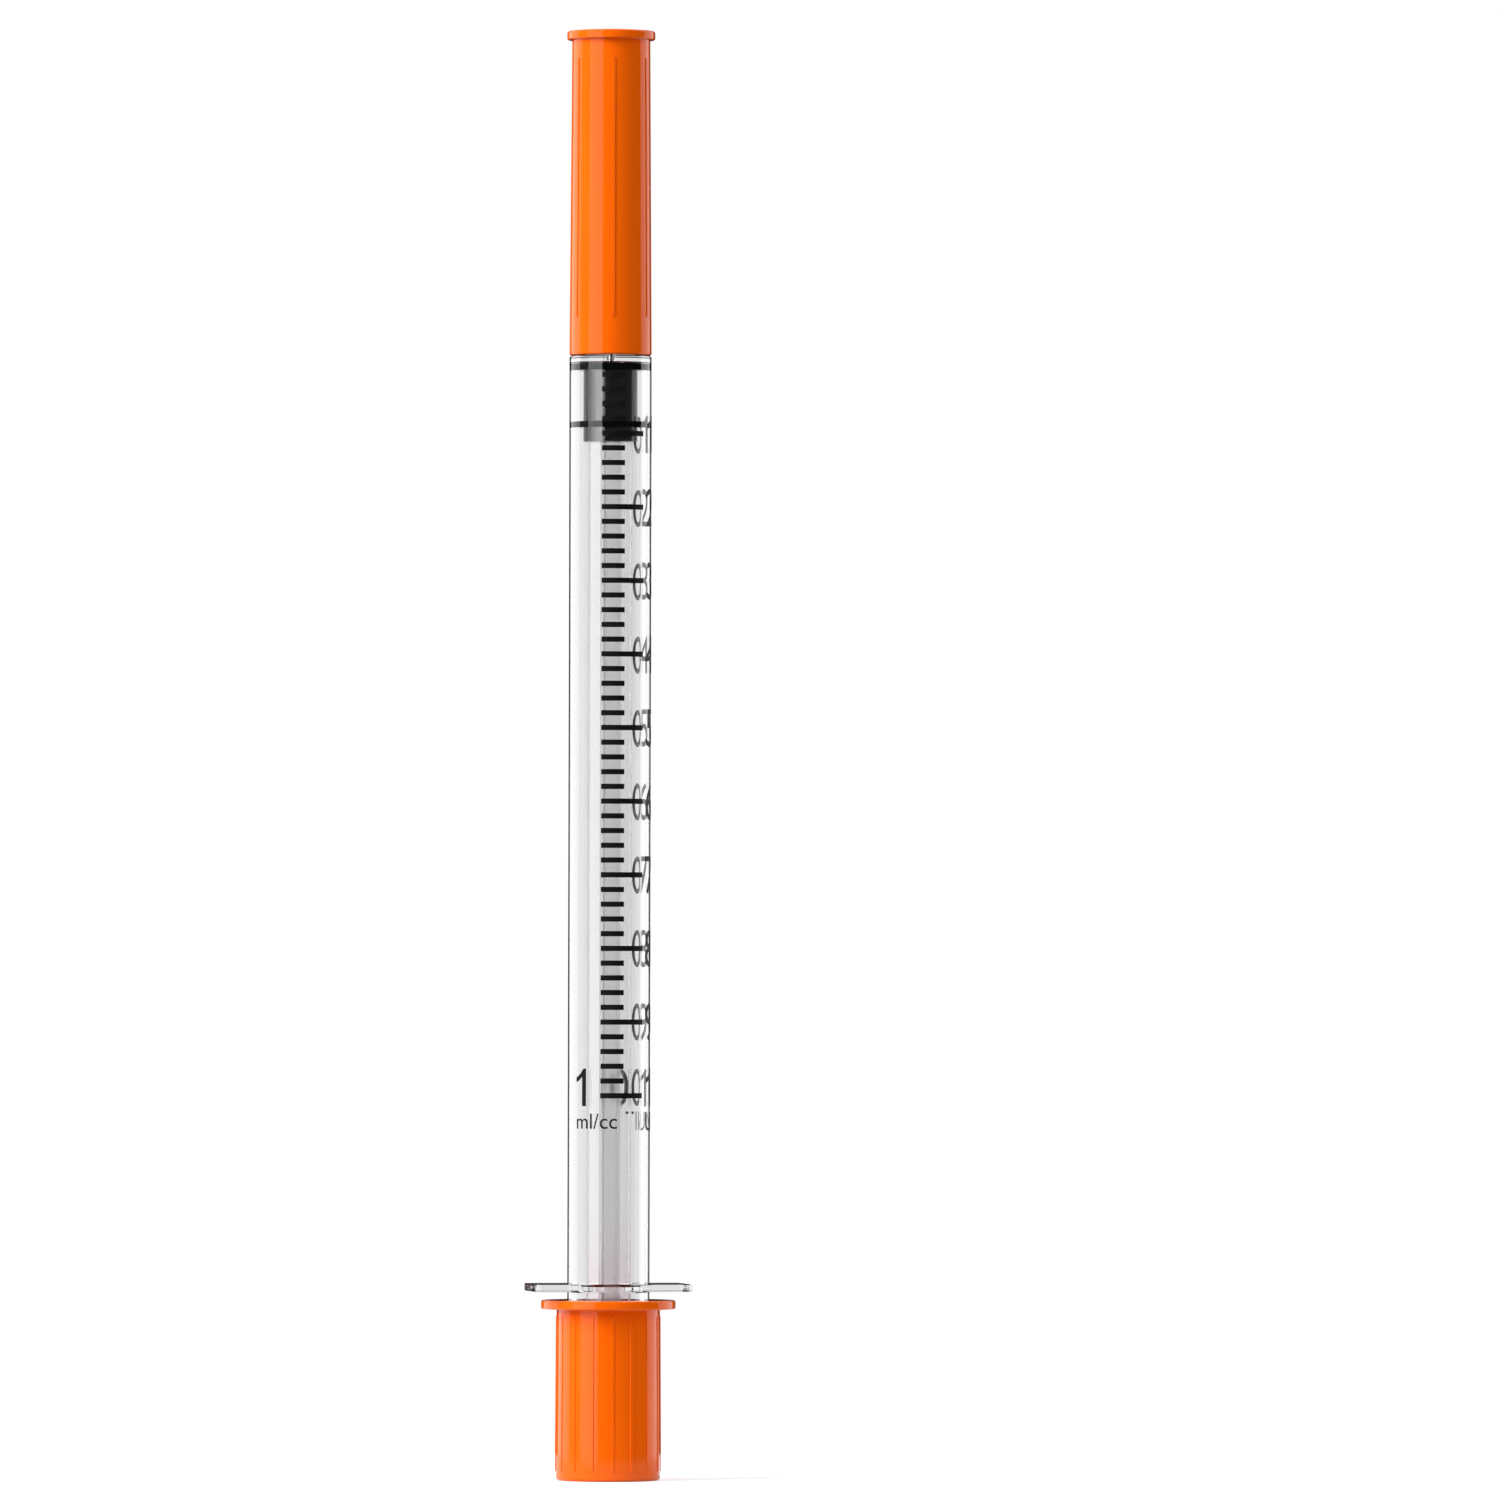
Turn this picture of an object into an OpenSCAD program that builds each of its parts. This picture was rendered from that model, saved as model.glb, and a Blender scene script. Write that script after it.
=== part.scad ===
// Insulin syringe of 1 ml with a fixed needle, as it is sold: needle shield and plunger cap on.
// It stands on the plunger cap's closed end, needle up. The flange's wings lie along X.

/* [Barrel] */
// Diameter of the bore that the stopper slides in
bore_d = 4.84; // [4:0.01:9]
// Thickness of the tube's wall
barrel_wall = 0.61; // [0.5:0.005:2]
// Length of the tube from its open end to the shoulder under the needle shield
barrel_len = 72.4; // [68:0.1:95]
// Thickness of the wall between the bore and the nose
front_wall = 0.45; // [0.4:0.05:1.5]
// Chamfer round the shoulder
shoulder_chamfer = 0.14; // [0.05:0.01:0.3]
// Radial height of the low ring that keeps the stopper in
backstop_h = 0.1; // [0.05:0.01:0.12]
// Length of that ring along the bore
backstop_len = 0.65; // [0.4:0.05:2]
// Distance from the tube's open end to the ring
backstop_inset = 3.3; // [2:0.05:8]

/* [Finger flange] */
// How far each wing stands out from the tube
flange_wing = 2.79; // [2:0.01:6]
// How far the plate stands out from the tube at its long sides
flange_side = 0.16; // [0.1:0.01:1.5]
// Thickness of the plate
flange_t = 0.55; // [0.4:0.05:1.5]
// Radius of the plate's corners
flange_corner_r = 0.46; // [0.2:0.01:2]
// Distance from the tube's open end to the underside of the plate
stub_len = 3.4; // [2.8:0.1:7]

/* [Nose and needle] */
// Diameter of the boss that the needle shield grips
boss_d = 4.24; // [3.6:0.01:4.6]
// Height of the boss above the shoulder
boss_len = 3.7; // [2:0.1:6]
// Diameter of the nose where it leaves the boss
nose_base_d = 2.77; // [2.4:0.01:3.4]
// Diameter of the nose at its tip
nose_tip_d = 1.85; // [1.6:0.01:2.3]
// Height of the nose above the boss
nose_len = 4.6; // [3:0.1:6]
// Diameter of the well in the nose that the glue fills
well_d = 0.9; // [0.7:0.05:1.2]
// Depth of the well
well_depth = 2.8; // [1:0.1:4]
// Diameter of the passage below the well
passage_d = 0.6; // [0.5:0.05:0.65]
// Diameter of the steel needle, gauge 29
needle_d = 0.33; // [0.25:0.01:0.45]
// Diameter of the needle's bore
needle_bore_d = 0.17; // [0.1:0.01:0.2]
// Length of needle that stands out of the nose
needle_show = 12.7; // [6:0.1:13]
// Length of the slanted grind at the point
bevel_len = 1.1; // [0.5:0.1:2]

/* [Needle shield] */
// Room between the needle's point and the end of the shield's cavity
shield_room = 2; // [1:0.05:20]
// Thickness of the wall at the open foot
shield_wall = 0.88; // [0.7:0.01:1.5]
// How much slimmer the shield's radius is under the rim than at the foot
shield_draft = 0.15; // [0.05:0.01:0.3]
// How far the rim at the tip stands out
shield_rim_w = 0.37; // [0.2:0.01:1.5]
// Thickness of the rim
shield_rim_t = 0.65; // [0.4:0.05:1.5]
// Thickness of the closed tip
shield_tip_wall = 1; // [0.5:0.05:2]
// Thickness of the wall beside the cavity's blind end
shield_side_wall = 1; // [0.9:0.02:1.4]
// Number of low ribs along the outside
shield_ribs = 6; // [3:1:12]
// Width of one rib
shield_rib_w = 0.28; // [0.15:0.01:0.6]
// Height of one rib
shield_rib_h = 0.065; // [0.03:0.005:0.15]
// Distance from the foot to the ribs' lower ends
shield_rib_from_foot = 2.8; // [1:0.1:6]
// Distance from the ribs' upper ends to the rim
shield_rib_to_rim = 1.4; // [0.5:0.1:5]
// Direction of the first rib, in degrees from X
shield_rib_first = 264; // [0:1:359]

/* [Stopper] */
// Length of the rubber stopper
stopper_len = 5.8; // [5.2:0.1:9]
// Gap between its body and the bore, beside the sealing ribs
stopper_relief = 0.42; // [0.2:0.005:0.5]
// Width of one sealing rib
seal_w = 0.55; // [0.5:0.05:1]
// Distance from the front face to the rear rib
rear_seal_from_front = 4.25; // [3:0.05:4.4]

/* [Plunger rod] */
// Gap between the tips of the four webs and the bore
rod_gap = 0.82; // [0.2:0.01:1]
// Thickness of one web
rod_web_t = 1.1; // [0.6:0.05:1.4]
// Turn of the webs from the flange's wings, in degrees
rod_turn = 0; // [0:1:90]
// Diameter of the round head in the stopper
rod_head_d = 2.2; // [1.9:0.05:2.4]
// Length of the head
rod_head_len = 1.65; // [1:0.05:2.2]
// Diameter of the neck between webs and head
rod_neck_d = 1.5; // [1:0.05:1.7]
// Length of the neck inside the stopper
rod_neck_len = 1.2; // [0.8:0.1:1.5]
// Gap between the edge of the thumb rest and the cap's inside
thumb_side_gap = 0.15; // [0.1:0.01:0.5]
// Thickness of the thumb rest
thumb_t = 0.95; // [0.6:0.05:2]

/* [Plunger cap] */
// Length of the cap
cap_len = 13.3; // [11:0.1:25]
// Thickness of the wall just under the rim
cap_wall = 0.75; // [0.6:0.01:2]
// How much wider the cap's radius is at the closed end than under the rim
cap_draft = 0.06; // [0.02:0.01:0.3]
// How far the rim at the open end stands out
cap_rim_w = 1.15; // [0.4:0.01:3]
// Thickness of the rim
cap_rim_t = 0.66; // [0.4:0.02:2]
// Thickness of the closed end
cap_end_wall = 0.95; // [0.5:0.05:2]
// Length of the tube's stub that shows between cap and flange
stub_show = 0.65; // [0.3:0.05:2]
// Number of low ribs along the outside
cap_ribs = 16; // [6:1:24]
// Width of one rib
cap_rib_w = 0.28; // [0.15:0.01:0.6]
// Height of one rib
cap_rib_h = 0.05; // [0.02:0.01:0.15]
// Direction of the first rib, in degrees from X
cap_rib_first = 265; // [0:1:359]

/* [Printed scale] */
// Length of bore that holds 100 units
scale_len = 54.2; // [46:0.1:60]
// Height of the zero above the bore's end
zero_rise = 0.09; // [0:0.01:0.4]
// Units on the scale
scale_units = 100; // [50:10:100]
// Units from one fine mark to the next
fine_step = 2; // [1:1:5]
// Units from one long mark to the next
ten_step = 10; // [10:10:50]
// Width of a printed line
line_w = 0.39; // [0.2:0.01:0.45]
// Thickness of the ink
ink_t = 0.02; // [0.01:0.005:0.04]
// Direction in which every mark starts, in degrees from X
mark_start = 248.8; // [0:0.1:359]
// Turn of a fine mark round the tube, in degrees
fine_turn = 32.6; // [10:0.1:60]
// Turn of a long mark round the tube, in degrees
ten_turn = 64.8; // [20:0.1:120]

/* [Hidden] */
$fn = 96;

// Clearances on the radius, and gaps along the axis
grip_gap = 0.03;
seal_gap = 0.015;
glue_gap = 0.01;
socket_gap = 0.06;
seat_gap = 0.05;
front_gap = 0.1;
thumb_gap = 0.3;

// One overrun for every cut, and the size of the small chamfers
overrun = 1;
edge_chamfer = 0.12;

// Outside of the tube, the inside of what grips it and the boss, and the sliding pieces
barrel_d = bore_d + 2 * barrel_wall;
cap_bore_d = barrel_d + 2 * grip_gap;
shield_grip_d = boss_d + 2 * grip_gap;
stopper_body_d = bore_d - 2 * stopper_relief;
rod_d = bore_d - 2 * rod_gap;
thumb_d = cap_bore_d - 2 * thumb_side_gap;
flange_len = barrel_d + 2 * flange_wing;
flange_w = barrel_d + 2 * flange_side;

// Heights up the axis, from the cap's closed end
barrel_z = cap_len + stub_show - stub_len;
flange_z = barrel_z + stub_len;
shoulder_z = barrel_z + barrel_len;
bore_end_z = shoulder_z - front_wall;
boss_top_z = shoulder_z + boss_len;
nose_top_z = boss_top_z + nose_len;
needle_tip_z = nose_top_z + needle_show;
backstop_z = barrel_z + backstop_inset;
stopper_top_z = bore_end_z - front_gap;
stopper_foot_z = stopper_top_z - stopper_len;
shield_z = shoulder_z + seat_gap;
shield_cavity_z = needle_tip_z + shield_room;
shield_top_z = shield_cavity_z + shield_tip_wall;
rod_foot_z = cap_end_wall + thumb_gap;
rod_top_z = stopper_foot_z - seat_gap;

// The needle's hole in the front wall, which opens as a funnel into the passage above
funnel_foot_share = 0.25;
needle_foot_z = bore_end_z + glue_gap;
needle_hole_d = needle_d + 2 * glue_gap;

// Turned solid from an outline of [radius, height] points
module turned(points) {
    rotate_extrude()
        polygon(points);
}

// Plate along X with round corners, its underside at height z
module round_plate(length, width, thickness, corner_r, z) {
    translate([-length / 2 + corner_r, -width / 2, z])
        cube([length - 2 * corner_r, width, thickness]);
    translate([-length / 2, -width / 2 + corner_r, z])
        cube([length, width - 2 * corner_r, thickness]);
    for (sx = [-1, 1], sy = [-1, 1])
        translate([sx * (length / 2 - corner_r), sy * (width / 2 - corner_r), z])
            cylinder(r = corner_r, h = thickness);
}

// Low ribs along a turned wall, from radius r0 at z0 to r1 at z1, the first at angle first
module wall_ribs(count, width, rise, first, r0, z0, r1, z1) {
    turn = 360 * width / (PI * (r0 + r1));
    for (i = [0 : count - 1])
        rotate([0, 0, first + i * 360 / count - turn / 2])
            rotate_extrude(angle = turn)
                polygon([[r0 - width, z0], [r0 + rise, z0], [r1 + rise, z1], [r1 - width, z1]]);
}

// Printed line round the tube, centred at height z
module printed_line(z, turn) {
    rotate([0, 0, mark_start])
        rotate_extrude(angle = turn)
            translate([barrel_d / 2, z - line_w / 2])
                square([ink_t, line_w]);
}

function mark_z(units) = bore_end_z + zero_rise - units * scale_len / scale_units;

// Radius at height z of a wall that goes straight from r0 at z0 to r1 at z1
function wall_r(z, r0, z0, r1, z1) = r0 + (r1 - r0) * (z - z0) / (z1 - z0);

// Clear tube, moulded in one with its flange, front wall, boss and nose
module barrel() {
    r = barrel_d / 2;
    bore_r = bore_d / 2;
    ring_r = bore_r - backstop_h;
    color([0.9, 0.94, 0.97, 0.35])
        difference() {
            union() {
                turned([[0, barrel_z], [r - edge_chamfer, barrel_z], [r, barrel_z + edge_chamfer],
                    [r, shoulder_z - shoulder_chamfer], [r - shoulder_chamfer, shoulder_z],
                    [boss_d / 2, shoulder_z], [boss_d / 2, boss_top_z - edge_chamfer],
                    [boss_d / 2 - edge_chamfer, boss_top_z], [nose_base_d / 2, boss_top_z],
                    [nose_tip_d / 2, nose_top_z], [0, nose_top_z]]);
                round_plate(flange_len, flange_w, flange_t, flange_corner_r, flange_z);
            }
            turned([[0, barrel_z - overrun], [bore_r + edge_chamfer, barrel_z - overrun],
                [bore_r + edge_chamfer, barrel_z], [bore_r, barrel_z + edge_chamfer],
                [bore_r, backstop_z], [ring_r, backstop_z + backstop_h],
                [ring_r, backstop_z + backstop_len - backstop_h], [bore_r, backstop_z + backstop_len],
                [bore_r, bore_end_z], [needle_hole_d / 2, bore_end_z],
                [needle_hole_d / 2, bore_end_z + funnel_foot_share * front_wall],
                [passage_d / 2, shoulder_z],
                [passage_d / 2, nose_top_z - well_depth - edge_chamfer],
                [well_d / 2, nose_top_z - well_depth], [well_d / 2, nose_top_z + overrun],
                [0, nose_top_z + overrun]]);
        }
}

// Hollow steel needle with a slanted point
module cannula() {
    r = needle_d / 2;
    slant = atan(bevel_len / needle_d);
    color([0.75, 0.77, 0.8])
        difference() {
            translate([0, 0, needle_foot_z])
                cylinder(r = r, h = needle_tip_z - needle_foot_z);
            translate([0, 0, needle_foot_z - overrun])
                cylinder(d = needle_bore_d, h = needle_tip_z - needle_foot_z + 2 * overrun);
            translate([r, 0, needle_tip_z])
                rotate([0, -slant, 0])
                    translate([-2 * bevel_len, -needle_d, 0])
                        cube([4 * bevel_len, 2 * needle_d, 2 * bevel_len]);
        }
}

// Glue that fills the well and the passage round the needle
module needle_adhesive() {
    hole_r = needle_d / 2 + glue_gap;
    low_z = shoulder_z + glue_gap;
    neck_z = nose_top_z - well_depth - edge_chamfer;
    color([0.85, 0.88, 0.8, 0.6])
        turned([[hole_r, low_z], [passage_d / 2 - glue_gap, low_z],
            [passage_d / 2 - glue_gap, neck_z + glue_gap],
            [well_d / 2 - glue_gap, nose_top_z - well_depth + glue_gap],
            [well_d / 2 - glue_gap, nose_top_z - edge_chamfer],
            [hole_r + glue_gap, nose_top_z - glue_gap], [hole_r, nose_top_z - glue_gap]]);
}

// Orange cover over the needle
module needle_shield() {
    grip_r = shield_grip_d / 2;
    foot_r = grip_r + shield_wall;
    tip_r = foot_r - shield_draft;
    rim_r = tip_r + shield_rim_w;
    cavity_r = tip_r - shield_side_wall;
    rim_z = shield_top_z - shield_rim_t;
    grip_top_z = boss_top_z + seat_gap;
    rib_foot_z = shield_z + shield_rib_from_foot;
    rib_top_z = rim_z - shield_rib_to_rim;
    color([0.95, 0.39, 0.05]) {
        turned([[grip_r + edge_chamfer, shield_z], [foot_r - edge_chamfer, shield_z],
            [foot_r, shield_z + edge_chamfer], [tip_r, rim_z], [rim_r - edge_chamfer, rim_z],
            [rim_r, rim_z + edge_chamfer], [rim_r, shield_top_z - edge_chamfer],
            [rim_r - edge_chamfer, shield_top_z], [0, shield_top_z], [0, shield_cavity_z],
            [cavity_r, shield_cavity_z], [grip_r - edge_chamfer, grip_top_z + edge_chamfer],
            [grip_r, grip_top_z], [grip_r, shield_z + edge_chamfer]]);
        wall_ribs(shield_ribs, shield_rib_w, shield_rib_h, shield_rib_first,
            wall_r(rib_foot_z, foot_r, shield_z, tip_r, rim_z), rib_foot_z,
            wall_r(rib_top_z, foot_r, shield_z, tip_r, rim_z), rib_top_z);
    }
}

// Black rubber stopper with two sealing ribs and the socket for the rod's head
module stopper() {
    rib_r = bore_d / 2 - seal_gap;
    body_r = stopper_body_d / 2;
    rib_bevel = rib_r - body_r;
    rear_z = stopper_top_z - rear_seal_from_front;
    neck_r = rod_neck_d / 2 + socket_gap;
    room_r = rod_head_d / 2 + socket_gap;
    room_z = stopper_foot_z + rod_neck_len - socket_gap;
    room_top_z = stopper_foot_z + rod_neck_len + rod_head_len + socket_gap;
    color([0.1, 0.1, 0.11])
        difference() {
            turned([[0, stopper_foot_z], [body_r - rib_bevel, stopper_foot_z],
                [body_r, stopper_foot_z + rib_bevel], [body_r, rear_z - seal_w],
                [rib_r, rear_z - seal_w + rib_bevel / 2], [rib_r, rear_z - rib_bevel / 2],
                [body_r, rear_z], [body_r, stopper_top_z - seal_w],
                [rib_r, stopper_top_z - seal_w + rib_bevel / 2],
                [rib_r, stopper_top_z - rib_bevel / 2], [body_r, stopper_top_z],
                [0, stopper_top_z]]);
            turned([[0, stopper_foot_z - overrun], [neck_r, stopper_foot_z - overrun],
                [neck_r, room_z], [room_r, room_z], [room_r, room_top_z - rod_head_len / 2],
                [neck_r, room_top_z], [0, room_top_z]]);
        }
}

// Clear rod of cross section with its head above and its thumb rest below
module plunger_rod() {
    web_z = rod_foot_z + thumb_t;
    head_z = stopper_foot_z + rod_neck_len;
    thumb_r = thumb_d / 2;
    color([0.88, 0.9, 0.92, 0.5])
        rotate([0, 0, rod_turn]) {
            intersection() {
                union() {
                    translate([-rod_d / 2, -rod_web_t / 2, web_z - edge_chamfer])
                        cube([rod_d, rod_web_t, rod_top_z - web_z + edge_chamfer]);
                    translate([-rod_web_t / 2, -rod_d / 2, web_z - edge_chamfer])
                        cube([rod_web_t, rod_d, rod_top_z - web_z + edge_chamfer]);
                }
                translate([0, 0, rod_foot_z])
                    cylinder(d = rod_d, h = rod_top_z - rod_foot_z);
            }
            turned([[0, rod_foot_z], [thumb_r - edge_chamfer, rod_foot_z],
                [thumb_r, rod_foot_z + edge_chamfer], [thumb_r, web_z - edge_chamfer],
                [thumb_r - edge_chamfer, web_z], [0, web_z]]);
            turned([[0, rod_top_z - rod_neck_d / 2], [rod_neck_d / 2, rod_top_z - rod_neck_d / 2],
                [rod_neck_d / 2, head_z], [rod_head_d / 2, head_z],
                [rod_head_d / 2, head_z + rod_head_len / 2],
                [rod_neck_d / 2, head_z + rod_head_len], [0, head_z + rod_head_len]]);
        }
}

// Orange cap over the thumb rest, its mouth gripping the tube's stub
module plunger_cap() {
    bore_r = cap_bore_d / 2;
    mouth_r = bore_r + cap_wall;
    end_r = mouth_r + cap_draft;
    rim_r = mouth_r + cap_rim_w;
    rim_z = cap_len - cap_rim_t;
    rib_z = 2 * edge_chamfer;
    color([0.95, 0.39, 0.05]) {
        turned([[0, 0], [end_r - edge_chamfer, 0], [end_r, edge_chamfer], [mouth_r, rim_z],
            [rim_r - edge_chamfer, rim_z], [rim_r, rim_z + edge_chamfer],
            [rim_r, cap_len - edge_chamfer], [rim_r - edge_chamfer, cap_len],
            [bore_r + edge_chamfer, cap_len], [bore_r, cap_len - edge_chamfer],
            [bore_r, cap_end_wall], [0, cap_end_wall]]);
        wall_ribs(cap_ribs, cap_rib_w, cap_rib_h, cap_rib_first,
            wall_r(rib_z, end_r, edge_chamfer, mouth_r, rim_z), rib_z, mouth_r, rim_z);
    }
}

// Short printed lines, between the long ones
module scale_fine_marks() {
    color([0.08, 0.08, 0.09])
        for (u = [fine_step : fine_step : scale_units])
            if (u % ten_step != 0)
                printed_line(mark_z(u), fine_turn);
}

// Long printed lines at the tens
module scale_ten_marks() {
    color([0.08, 0.08, 0.09])
        for (u = [ten_step : ten_step : scale_units])
            printed_line(mark_z(u), ten_turn);
}

barrel();
cannula();
needle_adhesive();
needle_shield();
stopper();
plunger_rod();
plunger_cap();
scale_fine_marks();
scale_ten_marks();
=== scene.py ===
import math

import bmesh
import bpy
from mathutils import Matrix, Vector


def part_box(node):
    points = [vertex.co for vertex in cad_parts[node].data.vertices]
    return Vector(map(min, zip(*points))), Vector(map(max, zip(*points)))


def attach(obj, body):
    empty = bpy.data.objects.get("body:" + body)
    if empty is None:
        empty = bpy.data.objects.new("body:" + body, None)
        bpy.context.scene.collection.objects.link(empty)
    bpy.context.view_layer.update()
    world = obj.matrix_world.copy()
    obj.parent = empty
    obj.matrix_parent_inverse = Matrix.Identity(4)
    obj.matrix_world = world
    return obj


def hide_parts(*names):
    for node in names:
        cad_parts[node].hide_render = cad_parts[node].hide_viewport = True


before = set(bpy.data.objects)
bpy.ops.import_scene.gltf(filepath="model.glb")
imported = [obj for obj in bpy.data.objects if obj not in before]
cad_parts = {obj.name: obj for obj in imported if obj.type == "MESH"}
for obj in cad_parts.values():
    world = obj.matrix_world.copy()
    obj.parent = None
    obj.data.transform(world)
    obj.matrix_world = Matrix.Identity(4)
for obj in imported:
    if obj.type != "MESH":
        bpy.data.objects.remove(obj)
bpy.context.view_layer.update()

# The camera: a long lens far off, level with the lower third of the syringe and a
# little to the left of the finger flange's front. The frame is 111 mm high and wide,
# and the syringe stands left of its middle, as in the photograph.
mm = 0.001
camera_turn = math.radians(-10)
camera_away = 1070 * mm
camera_height = 37.6 * mm
camera_roll = math.radians(0.13)
frame_width = 110.7 * mm
frame_middle_z = 53.9 * mm
frame_middle_right = 10.36 * mm

to_camera = Vector((math.sin(camera_turn), -math.cos(camera_turn), 0))
to_right = Vector((math.cos(camera_turn), math.sin(camera_turn), 0))
lens = bpy.data.cameras.new("camera")
lens.sensor_width = 36
lens.lens = lens.sensor_width * camera_away / frame_width
lens.clip_start = 0.05
lens.clip_end = 20
camera = bpy.data.objects.new("camera", lens)
bpy.context.scene.collection.objects.link(camera)
camera.location = to_right * frame_middle_right + to_camera * camera_away
camera.location.z = camera_height
aim = to_right * frame_middle_right + Vector((0, 0, frame_middle_z)) - camera.location
rolled = Matrix.Rotation(camera_roll, 3, "Z").to_quaternion()
camera.rotation_mode = "QUATERNION"
camera.rotation_quaternion = aim.to_track_quat("-Z", "Y") @ rolled
bpy.context.scene.camera = camera
bpy.context.scene.view_settings.view_transform = "Standard"

# The studio: white paper round the back of the table, a window on the front left with
# its dark frame beside it, and a dark gap in front, right of the camera, where the room
# shows. Gloss and clear plastic show them, and the camera sees plain white.
window_light = 3.2
paper_in_gloss = 2.5
backdrop_in_gloss = 0.03
window_frame_in_gloss = 0.3
gap_in_gloss = 0.02
paper_through = 1.0
backdrop_through = 0.76
behind_left_through = 0.84
window_frame_through = 0.4
gap_through = 0.8
gap_through_bounced = 0.1
light_on_matt = 0.42
white = 1.0

world = bpy.data.worlds.new("studio")
bpy.context.scene.world = world
world.use_nodes = True
studio = world.node_tree
studio.nodes.clear()


def feed(tree, socket, value):
    """Links a node's input to another node's output, or gives it a plain value."""
    if isinstance(value, bpy.types.NodeSocket):
        tree.links.new(value, socket)
    else:
        socket.default_value = value


def combined(tree, operation, *terms):
    """The outcome of an operation on terms, each an output or a plain number."""
    step = tree.nodes.new("ShaderNodeMath")
    step.operation = operation
    for socket, term in zip(step.inputs, terms):
        feed(tree, socket, term)
    return step.outputs["Value"]


def vector_step(tree, operation, vector, other=None, gives="Vector"):
    """The outcome of an operation on a vector, with another vector where it takes two."""
    step = tree.nodes.new("ShaderNodeVectorMath")
    step.operation = operation
    tree.links.new(vector, step.inputs[0])
    if other:
        step.inputs[1].default_value = other
    return step.outputs[gives]


def ramp(tree, value, start, end, low=0, high=1):
    """Goes from low to high as value goes from start to end, and no further."""
    step = tree.nodes.new("ShaderNodeMapRange")
    names = ("Value", "From Min", "From Max", "To Min", "To Max")
    for name, term in zip(names, (value, start, end, low, high)):
        feed(tree, step.inputs[name], term)
    return step.outputs["Result"]


def blend(tree, share, before, after, kind="RGBA"):
    """Goes from before to after, two colours or two numbers, as share goes from 0 to 1."""
    step = tree.nodes.new("ShaderNodeMix")
    step.data_type = kind
    for name, value in (("Factor", share), ("A", before), ("B", after)):
        feed(tree, step.inputs[name], value)
    return step.outputs["Result"]


def layered(light, *layers):
    """Starts from one light level and lays each layer's own over it by the layer's share."""
    for share, layer_light in layers:
        light = blend(studio, share, light, layer_light, kind="FLOAT")
    return light


def heading(turn):
    """The x and y of the level direction that is turn degrees to the right of the camera."""
    angle = camera_turn - math.pi / 2 + math.radians(turn)
    return math.cos(angle), math.sin(angle)


def sector(middle, half_width, softness):
    """1 where a ray's level direction is within half_width degrees of middle, and 0 elsewhere."""
    along = vector_step(studio, "DOT_PRODUCT", level_ray, (*heading(middle), 0), gives="Value")
    outer = math.cos(math.radians(half_width + softness))
    inner = math.cos(math.radians(half_width - softness))
    return ramp(studio, along, outer, inner)


ray_direction = studio.nodes.new("ShaderNodeTexCoord").outputs["Generated"]
level_ray = vector_step(studio, "MULTIPLY", ray_direction, (1, 1, 0))
level_ray = vector_step(studio, "NORMALIZE", level_ray)
front_gap = sector(middle=37, half_width=59.5, softness=0.6)
window = sector(middle=-43.5, half_width=21.1, softness=0.6)
window_frame = sector(middle=-80, half_width=15.5, softness=1.5)
behind_left = sector(middle=-135, half_width=45, softness=4)
backdrop = sector(middle=180, half_width=36, softness=4)
gloss_light = layered(
    paper_in_gloss,
    (backdrop, backdrop_in_gloss),
    (window, window_light),
    (window_frame, window_frame_in_gloss),
    (front_gap, gap_in_gloss),
)

# Light that comes straight through the plastic from the front finds the gap bright, and
# only light that has been mirrored finds it dark, so the tube is as clear from behind.
ray = studio.nodes.new("ShaderNodeLightPath").outputs
bounced = combined(studio, "GREATER_THAN", ray["Glossy Depth"], 0.5)
gap_light = blend(studio, bounced, gap_through, gap_through_bounced, kind="FLOAT")
through_light = layered(
    paper_through,
    (backdrop, backdrop_through),
    (behind_left, behind_left_through),
    (window, window_light),
    (window_frame, window_frame_through),
    (front_gap, gap_light),
)
room_light = layered(
    light_on_matt,
    (ray["Is Glossy Ray"], gloss_light),
    (ray["Is Transmission Ray"], through_light),
    (ray["Is Camera Ray"], white),
)
glow = studio.nodes.new("ShaderNodeBackground")
studio.links.new(room_light, glow.inputs["Color"])
world_out = studio.nodes.new("ShaderNodeOutputWorld")
studio.links.new(glow.outputs["Background"], world_out.inputs["Surface"])


def softbox(name, turn, height, away, width, tall, power):
    """A soft lamp that faces the syringe from turn degrees to the right of the camera."""
    light = bpy.data.lights.new(name, "AREA")
    light.shape = "RECTANGLE"
    light.size, light.size_y = width * mm, tall * mm
    light.energy = power
    lamp = bpy.data.objects.new(name, light)
    bpy.context.scene.collection.objects.link(lamp)
    lamp_x, lamp_y = heading(turn)
    lamp.location = (lamp_x * away * mm, lamp_y * away * mm, height * mm)
    syringe_middle = Vector((0, 0, 54 * mm))
    lamp.rotation_mode = "QUATERNION"
    lamp.rotation_quaternion = (syringe_middle - lamp.location).to_track_quat("-Z", "Y")
    lamp.visible_glossy = False
    lamp.visible_transmission = False


softbox("window_left", turn=-62, height=430, away=620, width=420, tall=600, power=9)
softbox("fill_right", turn=80, height=420, away=700, width=300, tall=600, power=1.6)

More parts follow.
